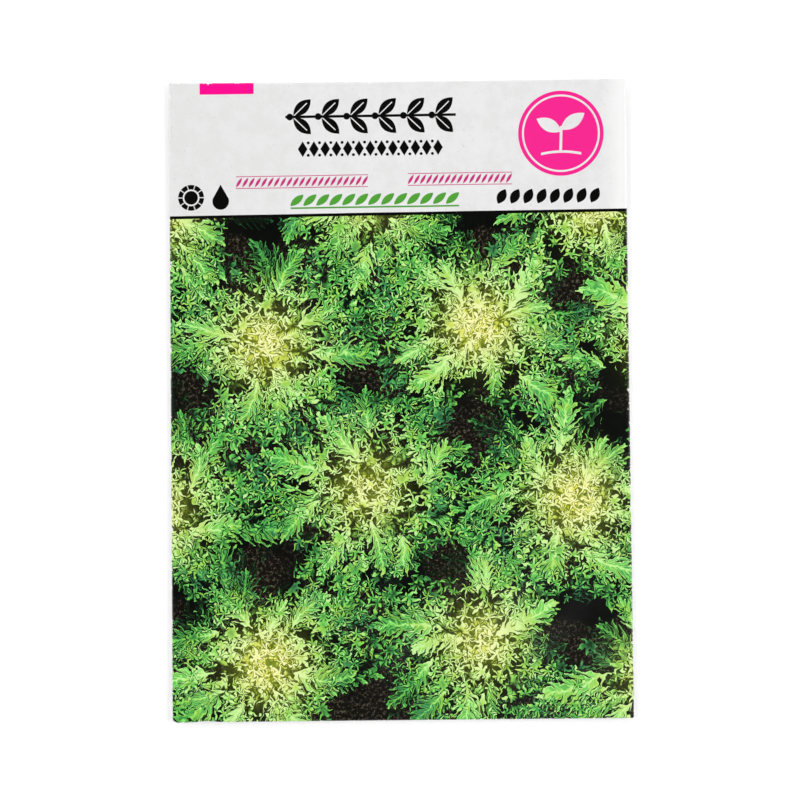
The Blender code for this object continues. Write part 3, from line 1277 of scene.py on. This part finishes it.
    def seedlings(self, place: PrintPlace) -> Expr:
        """A framed row of seedlings above a ground line, with seeds and crumbs below it.

        Args:
            place: the mark's place.

        Returns:
            Where its ink lies.
        """
        x, y, _ = self.row(place)
        left = self.veined(*self.turned(x + 2.1, y + 5.4, 38), 2.7, 1.05)
        right = self.veined(*self.turned(-x + 2.1, y + 5.4, 38), 2.7, 1.05)
        stem = (0.26 - abs(x)).least(3.6 - y).least(y + 4.6)
        seed = self.leaf(*self.turned(x, y - 7.4, 30), 1.3, 0.62)
        ground = 0.20 - abs(y - 3.6)
        crumb = self.disc(abs(abs(x) - 3.2) - 0.9, y - 7.2 + x * 0.25, 0.16)
        frame_line = 0.20 - abs(self.bar(place) - 0.3)
        shape = left.most(right).most(stem).most(seed).most(ground).most(crumb)
        return self.ink(shape.least(self.bar(place)).most(frame_line))

    def lines(self, place: PrintPlace) -> Expr:
        """Thin ruled lines with ragged ends.

        Args:
            place: the mark's place.

        Returns:
            Where their ink lies.
        """
        x, y = self.local(place)
        count = (y + place.height / 2) * (1 / self.line_pitch)
        rule = 0.30 - abs(count.fraction() - 0.5) * self.line_pitch
        along = self.graph.joined(place.across, count.floor() * self.line_pitch)
        ragged = self.graph.noise_value(along, 2.1, 0.0)
        end = place.width * 0.5 - abs(ragged - 0.5) * place.width * 0.9
        return self.kept(place, rule.least(end - x))


@dataclass(frozen=True)
class CoatedPaper:
    """The sheet's gloss-coated outer face, under whatever is printed on it."""

    white: Colour = (0.806, 0.802, 0.806)
    # the darker paper colour, reached both by the random mottle and by painted shade
    dull: Colour = (0.752, 0.752, 0.748)
    bare: Colour = (0.860, 0.850, 0.820)
    speck: Colour = (0.420, 0.400, 0.380)
    black: Colour = (0.0012, 0.0010, 0.0008)
    mottle: Patches = Patches(4.0, 5.0, 0.72, 0.36, 0.68)
    specks: Patches = Patches(0.55, 2.0, 0.5, 0.71, 0.79)
    nicks: Patches = Patches(0.9, 3.0, 0.7, 0.53, 0.76)
    rubbed: Patches = Patches(12.0, 1.0, 0.5, 0.52, 0.64)
    mottle_strength: float = 0.9
    speck_strength: float = 0.35
    nick_reach: tuple[float, float] = (0.16, 0.32)
    grain_strength: float = 0.25
    grain_height: float = 0.02 * MM
    gloss: tuple[float, float] = (0.18, 0.08)
    worn_roughness: float = 0.4
    specular: float = 0.35
    coat: float = 0.15
    coat_roughness: float = 0.12

    def paper(self, graph: Graph, place: Expr, shade: Operand = 0.0) -> Expr:
        """The unprinted coating: faintly mottled, with a few fine specks.

        Args:
            graph: the material's graph.
            place: the place in millimetres.
            shade: how much painted shade darkens the paper besides.

        Returns:
            Its colour.
        """
        # Random mottle, plus any painted shade passed in, mixes the paper towards its dull colour.
        mottle_and_painted_shade = (self.mottle.lay(graph, place) * self.mottle_strength + shade).least(1.0)
        colour = graph.tint(mottle_and_painted_shade, self.white, self.dull)
        return graph.tint(self.specks.lay(graph, place) * self.speck_strength, colour, self.speck)

    def worn(self, graph: Graph, place: Expr, to_edge: Expr) -> Expr:
        """Where the coating has cracked off along the folds.

        Args:
            graph: the material's graph.
            place: the place in millimetres.
            to_edge: the distance to the nearest fold.

        Returns:
            One where bare paper shows, else nought.
        """
        least, more = self.nick_reach
        reach = self.nicks.lay(graph, place) * (self.rubbed.lay(graph, place) * more + least)
        return 1 - graph.ease(to_edge - reach, -0.02, 0.07)

    def finish(self, graph: Graph, place: Expr, colour: Expr, worn: Operand) -> bpy.types.Material:
        """Ends a printed face: its gloss and its fine grain.

        Args:
            graph: the material's graph.
            place: the place in millimetres.
            colour: the printed colour.
            worn: where the coating is gone.

        Returns:
            The material.
        """
        grain = graph.add("ShaderNodeBump", None, {
            "Strength": self.grain_strength,
            "Distance": self.grain_height,
            "Height": graph.noise_value(place, 0.35, 3.0, 0.6),
        })
        smooth, spread = self.gloss
        rough = graph.noise_value(place, 2.5, 3.0, 0.6) * spread + smooth
        return graph.finish({
            "Base Color": graph.tint(worn, colour, self.bare),
            "Roughness": rough + worn * self.worn_roughness,
            "Specular IOR Level": self.specular,
            "Coat Weight": (1 - worn) * self.coat,
            "Coat Roughness": self.coat_roughness,
            "Normal": graph.out(grain),
        })


@dataclass(frozen=True, kw_only=True)
class FrontFinish(CoatedPaper):
    """The front: ornaments on the white header above, the leaf picture below."""

    form: PacketForm
    picture: LeafPicture
    # painted highlight: the whiter colour the header paper fades to near its right fold
    shine: Colour = (0.930, 0.930, 0.925)
    pink: Colour = (0.960, 0.002, 0.270)
    badge_pink: Colour = (0.900, 0.020, 0.275)
    crimson: Colour = (0.560, 0.030, 0.190)
    green: Colour = (0.082, 0.345, 0.038)
    marks_lean: float = 0.0049
    rule_down: float = 24.51
    rule_lean: float = 0.0073
    rule_thick: float = 0.54
    # painted shade: the header paper darkens towards its left side over this reach
    painted_shade_reach: float = 34.0
    painted_shade_share: float = 0.5
    # where and how strongly the painted highlight whitens the header paper near its right fold
    painted_highlight_from: tuple[float, float] = (77.0, 81.5)
    painted_highlight_share: float = 0.8

    def build(self) -> bpy.types.Material:
        """Makes the material.

        Returns:
            The front panel's printed finish.
        """
        graph = Graph("printed_front")
        place = graph.millimetres()
        x, y, _ = graph.parts(place)
        half_width, half_height = self.form.half_width / MM, self.form.half_height / MM
        u = x + half_width
        down = half_height - y
        # Painted shade: the header paper is darker towards its left side.
        painted_left_shade = 1 - graph.ease(u, 0.0, self.painted_shade_reach)
        paper = self.paper(graph, place, painted_left_shade * self.painted_shade_share)
        # Painted highlight: the header paper whitens towards its right fold.
        paper = graph.tint(graph.ease(u, *self.painted_highlight_from) * self.painted_highlight_share, paper, self.shine)
        colour = self._marks(graph, paper, Ornaments(graph, u, down + u * self.marks_lean))
        picture = self.picture.colour(graph, place)
        past_rule = down + u * self.rule_lean - self.rule_down
        colour = graph.tint(graph.ease(past_rule, -0.10, -0.06), colour, picture)
        rule = self.rule_thick / 2 - abs(past_rule + self.rule_thick / 2)
        colour = graph.tint(graph.ease(rule, -0.03, 0.03), colour, self.black)
        to_edge = (half_width - abs(x)).least(half_height - abs(y))
        return self.finish(graph, place, colour, self.worn(graph, place, to_edge))

    def _marks(self, graph: Graph, paper: Expr, draw: Ornaments) -> Expr:
        """Lays the header's ornaments over the paper.

        Args:
            graph: the material's graph.
            paper: the paper's colour.
            draw: what draws the ornaments.

        Returns:
            The header's colour.
        """
        black = (
            draw.garland(FrontMark.GARLAND.value)
            .most(draw.lozenges(FrontMark.LOZENGES.value))
            .most(draw.sun_and_drop(FrontMark.SUN_AND_DROP.value))
            .most(draw.kernels(FrontMark.KERNELS.value))
        )
        crimson = draw.rope(FrontMark.ROPE_LEFT.value).most(draw.rope(FrontMark.ROPE_RIGHT.value))
        disc, bare = draw.badge(FrontMark.BADGE.value)
        colour = graph.tint(black, paper, self.black)
        colour = graph.tint(crimson, colour, self.crimson)
        colour = graph.tint(draw.leaflets(FrontMark.LEAFLETS.value), colour, self.green)
        colour = graph.tint(draw.ink(draw.bar(FrontMark.TAB.value)), colour, self.pink)
        return graph.tint(disc * (1 - bare), colour, self.badge_pink)


@dataclass(frozen=True, kw_only=True)
class BackFinish(CoatedPaper):
    """The back: a leafy band, a planting diagram and ruled lines, in green and grey."""

    form: PacketForm
    grey: Colour = (0.110, 0.115, 0.110)
    green: Colour = (0.060, 0.300, 0.045)

    def build(self) -> bpy.types.Material:
        """Makes the material.

        Returns:
            The back's printed finish.
        """
        graph = Graph("printed_back")
        place = graph.millimetres()
        x, y, _ = graph.parts(place)
        draw = Ornaments(graph, self.form.half_width / MM - x, self.form.half_height / MM - y)
        grey = (
            draw.lines(BackMark.LEFT_LINES.value)
            .most(draw.lines(BackMark.RIGHT_LINES.value))
            .most(draw.sun_and_drop(BackMark.SUN_AND_DROP.value))
            .most(draw.kernels(BackMark.KERNELS.value))
        )
        band = draw.ink(draw.bar(BackMark.BAND.value)) * (1 - draw.garland(BackMark.GARLAND.value))
        colour = graph.tint(grey, self.paper(graph, place), self.grey)
        colour = graph.tint(band.most(draw.seedlings(BackMark.SEEDLINGS.value)), colour, self.green)
        return self.finish(graph, place, colour, 0.0)


@dataclass(frozen=True)
class InsideFinish:
    """Uncoated paper: the unprinted inner face and the cut edge of the sheet."""

    fibre: Colour = (0.780, 0.765, 0.725)
    shade: Colour = (0.700, 0.685, 0.640)

    def build(self) -> bpy.types.Material:
        """Makes the material.

        Returns:
            The finish.
        """
        graph = Graph("bare_paper")
        place = graph.millimetres()
        fibres = graph.noise_value(place, 0.5, 4.0, 0.7)
        return graph.finish({
            "Base Color": graph.tint(graph.ease(fibres, 0.3, 0.7), self.fibre, self.shade),
            "Roughness": fibres * 0.1 + 0.75,
        })


@dataclass(frozen=True)
class SeedFinish:
    """Dry, ribbed seed coats of mixed straw and grey."""

    straw: Colour = (0.430, 0.330, 0.190)
    grey: Colour = (0.230, 0.195, 0.145)
    greyer: Patches = Patches(2.2, 2.0, 0.5, 0.35, 0.65)

    def build(self) -> bpy.types.Material:
        """Makes the material.

        Returns:
            The finish.
        """
        graph = Graph("seed_coat")
        place = graph.millimetres()
        ribs = graph.noise_value(place, 0.25, 2.0, 0.6)
        colour = graph.tint(self.greyer.lay(graph, place), self.straw, self.grey)
        return graph.finish({
            "Base Color": graph.tint(ribs * 0.4, colour, self.grey),
            "Roughness": ribs * 0.15 + 0.62,
        })


@dataclass
class SeedFill:
    """The loose seeds between the panels: ribbed wedges in one thin layer."""

    form: PacketForm
    count: int = 540
    length: float = 2.7 * MM
    width: float = 1.15 * MM
    thickness: float = 0.78 * MM
    bed: tuple[float, float] = (25.0 * MM, 28.0 * MM)
    bed_y: float = -9.0 * MM
    bed_use: float = 0.97
    clearance: float = 0.10 * MM
    scatter: float = 0.25 * MM
    sizes: tuple[float, float] = (0.86, 1.04)
    tipping: float = 0.07
    tipped_half: float = 0.62
    rib_depth: float = 0.10
    sharp_from: float = math.radians(40)
    sides: int = 10
    profile: tuple[tuple[float, float], ...] = (
        (-0.5, 0.16), (-0.40, 0.34), (-0.15, 0.70), (0.15, 0.95), (0.36, 1.0), (0.46, 0.86), (0.5, 0.55),
    )
    draw_seed: int = 23
    places: np.ndarray = field(init=False)

    def __post_init__(self) -> None:
        """Draws where the seeds lie."""
        draw = np.random.default_rng(self.draw_seed)
        turn = np.arange(self.count) * math.pi * (3 - math.sqrt(5))
        share = self.bed_use * np.sqrt((np.arange(self.count) + 0.5) / self.count)
        x = share * self.bed[0] * np.cos(turn) + draw.normal(0, self.scatter, self.count)
        y = self.bed_y + share * self.bed[1] * np.sin(turn) + draw.normal(0, self.scatter, self.count)
        self.places = np.stack([x, y, draw.uniform(0, 2 * math.pi, self.count)], axis=-1)

    def _one(self) -> tuple[np.ndarray, list[tuple[int, ...]]]:
        """Shapes one seed, lying along X.

        Returns:
            Its points and its faces.
        """
        rings = []
        for along, girth in self.profile:
            turns = 2 * math.pi * np.arange(self.sides) / self.sides
            ribbed = girth * (1 - self.rib_depth * (np.arange(self.sides) % 2))
            rings.append(np.stack([
                np.full(self.sides, along * self.length),
                ribbed * self.width / 2 * np.cos(turns),
                ribbed * self.thickness / 2 * np.sin(turns),
            ], axis=-1))
        faces: list[tuple[int, ...]] = [tuple(range(self.sides - 1, -1, -1))]
        for ring in range(len(rings) - 1):
            for i in range(self.sides):
                after = (i + 1) % self.sides
                low, high = ring * self.sides, (ring + 1) * self.sides
                faces.append((low + i, low + after, high + after, high + i))
        last = (len(rings) - 1) * self.sides
        faces.append(tuple(range(last, last + self.sides)))
        return np.concatenate(rings), faces

    def build(self) -> bpy.types.Object:
        """Makes all the seeds as one piece.

        Returns:
            The seeds' object.
        """
        draw = np.random.default_rng(self.draw_seed + 1)
        half = self.tipped_half * self.thickness
        points, faces = self._one()
        all_points, all_faces = [], []
        for i, (x, y, heading) in enumerate(self.places):
            room = float(self.form.gap(np.array([x]), np.array([y]))[0]) / 2 - self.clearance
            size = draw.uniform(*self.sizes) * min(1.0, room / half)
            spare = max(0.0, room - size * half)
            z = float(self.form.bed_middle(np.array([x]), np.array([y]))[0]) + draw.uniform(-1, 1) * spare
            tip = draw.normal(0, self.tipping)
            cos_h, sin_h = math.cos(heading), math.sin(heading)
            across = points[:, 0] * math.cos(tip) + points[:, 2] * math.sin(tip)
            up = points[:, 2] * math.cos(tip) - points[:, 0] * math.sin(tip)
            moved = np.stack([
                across * cos_h - points[:, 1] * sin_h,
                across * sin_h + points[:, 1] * cos_h,
                up,
            ], axis=-1) * size + np.array([x, y, z])
            all_points.append(moved)
            all_faces += [tuple(j + i * len(points) for j in face) for face in faces]
        mesh = bpy.data.meshes.new("loose_seeds")
        mesh.from_pydata(np.concatenate(all_points).tolist(), [], all_faces)
        mesh.materials.append(SeedFinish().build())
        mesh.shade_smooth()
        mesh.set_sharp_from_angle(angle=self.sharp_from)
        piece = placed("loose_seeds", mesh)
        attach(piece, "root")
        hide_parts("seeds")
        log.info("loose_seeds: %d seeds", self.count)
        return piece


@dataclass
class Envelope:
    """The folded and pasted sheet: two panels and three flaps, each at its real thickness."""

    form: PacketForm
    uneven: Unevenness
    planting: Planting
    fine_step: float = 0.46 * MM
    coarse_step: float = 1.6 * MM
    fold_turns: tuple[float, ...] = (0.0, 0.07, 0.25, 0.55, 1.0)

    def _graded(self, low: float, high: float, step: float, low_fold: bool, high_fold: bool) -> np.ndarray:
        """Spaces points evenly, and closer together round a fold.

        Args:
            low: the first place.
            high: the last place.
            step: the distance between points, about.
            low_fold: whether there is a fold at the first place.
            high_fold: whether there is one at the last.

        Returns:
            The places.
        """
        start = [low + share * self.form.fold for share in self.fold_turns] if low_fold else [low]
        stop = [high - share * self.form.fold for share in self.fold_turns[::-1]] if high_fold else [high]
        count = max(2, round((stop[0] - start[-1]) / step))
        middle = np.linspace(start[-1], stop[0], count + 1)[1:-1]
        return np.concatenate([start, middle, stop])

    def front_points(self) -> np.ndarray:
        """The front panel's outer face, with its four sides turned over the folds.

        Returns:
            A grid of points.
        """
        form = self.form
        columns = self._graded(-form.half_width, form.half_width, self.fine_step, True, True)
        rows = self._graded(-form.half_height, form.half_height, self.fine_step, True, True)
        y, x = np.meshgrid(rows, columns, indexing="ij")
        left = -form.half_width + form.corner_inset(-1, y)
        right = form.half_width - form.corner_inset(1, y)
        x = left + (right - left) * (x + form.half_width) / (2 * form.half_width)
        side_rise, end_rise = np.minimum(x - left, right - x), form.half_height - np.abs(y)
        y = y + form.dent(x) * (form.half_height - y) / (2 * form.half_height)
        depth = form.gap(x, y) + 2 * form.paper
        side_half = np.where(x < 0, depth - form.paper, depth) / 2
        half = np.where(end_rise < side_rise, (depth + form.paper) / 2, side_half)
        kept = form.squeeze(side_rise) * form.squeeze(end_rise)
        z = form.front_outside(x, y) + self.uneven.relief(x, y) - (1 - kept) * half
        return np.stack([x, y, z], axis=-1)

    def back_points(self) -> np.ndarray:
        """The back panel's outer face, from the right fold to its free edge at the seam.

        Returns:
            A grid of points.
        """
        form = self.form
        seam = -form.half_width + form.seam_setback
        end = form.half_height - form.fold
        columns = self._graded(seam, form.half_width, self.coarse_step, False, True)
        rows = self._graded(-end, end, self.coarse_step, False, False)
        y, x = np.meshgrid(rows, columns, indexing="ij")
        half = (form.gap(x, y) + 2 * form.paper) / 2
        kept = form.squeeze(form.half_width - x)
        return np.stack([x, y, form.back_outside(x, y) + (1 - kept) * half], axis=-1)

    def side_flap_points(self) -> np.ndarray:
        """The side flap's outer face, from the left fold to its free edge inside the back.

        Returns:
            A grid of points.
        """
        form = self.form
        end = form.half_height - form.fold
        columns = self._graded(
            -form.half_width, -form.half_width + form.side_flap, self.coarse_step, True, False
        )
        rows = self._graded(-end, end, self.coarse_step, False, False)
        y, x = np.meshgrid(rows, columns, indexing="ij")
        half = (form.gap(x, y) + form.paper) / 2
        kept = form.squeeze(x + form.half_width)
        low = form.back_outside(x, y) + form.paper + form.paste
        return np.stack([x, y, low + (1 - kept) * half], axis=-1)

    def end_flap_points(self, end: int, depth: float) -> np.ndarray:
        """The top or bottom flap's outer face, from its fold to its free edge.

        Args:
            end: 1 for the top flap, -1 for the bottom one.
            depth: how far it reaches from its fold.

        Returns:
            A grid of points.
        """
        form = self.form
        reaches = self._graded(0.0, depth - form.flap_corner, self.coarse_step, True, False)
        turns = np.radians(np.linspace(0, 90, 9))[1:]
        reaches = np.concatenate([reaches, depth - form.flap_corner * (1 - np.sin(turns))])
        shares = np.linspace(-1, 1, 61)
        reach, share = np.meshgrid(reaches, shares, indexing="ij")
        x = share * form.flap_half_width(reach, depth)
        dent = form.dent(x) * (1 - reach / depth) if end < 0 else 0.0
        y = end * (form.half_height - reach - dent)
        half = (form.gap(x, y) + 3 * form.paper) / 2
        low = form.back_outside(x, y) - form.paper - form.paste
        z = low + (1 - form.squeeze(reach)) * half
        return np.stack([x, y, z], axis=-1)

    def _lay_leaves(self, piece: bpy.types.Object, points: np.ndarray, picture: LeafPicture) -> None:
        """Keeps the picture's leaf coordinates on the front panel's mesh.

        Args:
            piece: the front panel.
            points: its outer face's grid of points, the first half of the mesh's.
            picture: the printed picture.
        """
        x, y = points[..., 0] / MM, points[..., 1] / MM
        beds = {}
        for layer, fronds in enumerate(self.planting.grow()):
            beds[picture.attribute(layer)] = self.planting.lay(fronds, x, y)
            log.info("%s: %d leaves", picture.attribute(layer), len(fronds))
        shares = [self.planting.glow(x, y), self.planting.growth(x, y), self.planting.light(x, y)]
        beds[picture.light_attribute] = np.stack([share.ravel() for share in shares], axis=-1)
        for name, bed in beds.items():
            values = np.zeros((2 * x.size, 4), np.float32)
            values[:x.size, :bed.shape[1]] = bed
            attribute = piece.data.attributes.new(name, "FLOAT_COLOR", "POINT")
            attribute.data.foreach_set("color", values.ravel())

    def build(self) -> list[bpy.types.Object]:
        """Makes the five parts of the sheet and dresses them.

        Returns:
            The parts' objects.
        """
        form = self.form
        picture = LeafPicture(self.planting)
        front, back = FrontFinish(form=form, picture=picture).build(), BackFinish(form=form).build()
        bare = InsideFinish().build()
        front_points = self.front_points()
        parts = [
            (SheetMesh("front_panel", front_points, 1, form.paper), front),
            (SheetMesh("back_panel", self.back_points(), -1, form.paper), back),
            (SheetMesh("side_flap", self.side_flap_points(), -1, form.paper), back),
            (SheetMesh("top_flap", self.end_flap_points(1, form.top_flap), -1, form.paper), back),
            (SheetMesh("bottom_flap", self.end_flap_points(-1, form.bottom_flap), -1, form.paper), back),
        ]
        pieces = []
        for sheet, finish in parts:
            piece = sheet.build(finish, bare)
            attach(piece, "root")
            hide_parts("envelope")
            log.info("%s: %d faces", sheet.name, len(piece.data.polygons))
            pieces.append(piece)
        self._lay_leaves(pieces[0], front_points, picture)
        return pieces


@dataclass(frozen=True)
class Softbox:
    """One soft rectangular light, turned towards the packet."""

    name: str
    place: tuple[float, float, float]
    size: tuple[float, float]
    power: float

    def hang(self) -> None:
        """Puts the light in the scene."""
        data = bpy.data.lights.new(self.name, "AREA")
        data.shape = "RECTANGLE"
        data.size, data.size_y = self.size
        data.energy = self.power
        light = placed(self.name, data)
        light.location = self.place
        light.rotation_mode = "QUATERNION"
        light.rotation_quaternion = (-Vector(self.place)).to_track_quat("-Z", "Y")


@dataclass(frozen=True)
class Studio:
    """A pale floor, soft lights and the camera that looks down on the packet."""

    softboxes: tuple[Softbox, ...] = (
        Softbox("left_softbox", (-1.3, 0.2, 1.0), (1.0, 1.6), 16.4),
        Softbox("right_softbox", (1.3, 0.1, 1.0), (1.0, 1.6), 17.9),
        Softbox("top_softbox", (0.0, 1.4, 1.0), (1.6, 0.8), 12.3),
        Softbox("near_softbox", (0.0, -1.4, 1.0), (1.6, 0.8), 9.6),
        Softbox("sheen_softbox", (0.42, -0.50, 2.2), (0.35, 0.35), 0.8),
    )
    photo_pixels: int = 800
    pixels_per_millimetre: float = 5.61
    tilt: float = math.radians(-0.58)
    pitch: float = math.radians(2.2)
    packet_off_centre: tuple[float, float] = (0.2, -1.15)
    lens: float = 100.0
    sensor: float = 36.0
    front_height: float = 0.0021
    floor_size: float = 2.2
    floor_drop: float = 0.00002
    floor_pale: tuple[Colour, Colour] = ((0.93, 0.93, 0.93), (0.95, 0.95, 0.95))
    floor_glow: Colour = (0.12, 0.12, 0.12)
    surround_light: float = 0.05

    def _floor(self) -> None:
        """A plain, nearly white floor."""
        mesh = bpy.data.meshes.new("floor")
        half = self.floor_size / 2
        corners = [(-half, -half, 0), (half, -half, 0), (half, half, 0), (-half, half, 0)]
        mesh.from_pydata(corners, [], [(0, 1, 2, 3)])
        graph = Graph("pale_floor")
        mesh.materials.append(graph.finish({
            "Base Color": graph.tint(graph.noise_value(graph.millimetres(), 60.0), *self.floor_pale),
            "Roughness": 0.9,
            "Emission Color": self.floor_glow,
            "Emission Strength": 1.0,
        }))
        floor = placed("floor", mesh)
        floor.location.z = -self.floor_drop

    def _surround(self) -> None:
        """A surround that is white to look at and gives only a little light of its own."""
        graph = Graph("surround", surround=True)
        seen = graph.out(graph.add("ShaderNodeLightPath"), "Is Camera Ray")
        strength = graph.blend(seen, self.surround_light, 1.0)
        white = graph.add("ShaderNodeBackground", None, {"Color": (1.0, 1.0, 1.0), "Strength": strength})
        graph.add("ShaderNodeOutputWorld", None, {"Surface": graph.out(white)})
        bpy.context.scene.world = graph.owner

    def _camera(self) -> None:
        """The camera at the photograph's angle."""
        data = bpy.data.cameras.new("camera")
        data.lens = self.lens
        data.sensor_width = self.sensor
        camera = placed("camera", data)
        field_width = self.photo_pixels / self.pixels_per_millimetre * MM
        distance = field_width * self.lens / self.sensor
        off_x, off_y = (part / self.pixels_per_millimetre * MM for part in self.packet_off_centre)
        camera.rotation_euler = (self.pitch, 0.0, self.tilt)
        back_off = camera.rotation_euler.to_matrix() @ Vector((0.0, 0.0, distance))
        camera.location = Vector((-off_x, off_y, self.front_height)) + back_off
        bpy.context.scene.camera = camera

    def build(self) -> None:
        """Sets up the floor, the lights, the surround and the camera."""
        self._floor()
        for softbox in self.softboxes:
            softbox.hang()
        self._surround()
        self._camera()
        view = bpy.context.scene.view_settings
        view.view_transform = "Standard"
        view.look = "None"


def main() -> None:
    """Builds the packet in order, from the seeds outwards, and then the studio."""
    low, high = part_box("envelope")
    form = PacketForm((high[0] - low[0]) / 2, (high[1] - low[1]) / 2)
    fill = SeedFill(form)
    fill.build()
    Envelope(form, Unevenness(form, fill.places), Planting()).build()
    Studio().build()


if __name__ == "__main__":
    main()
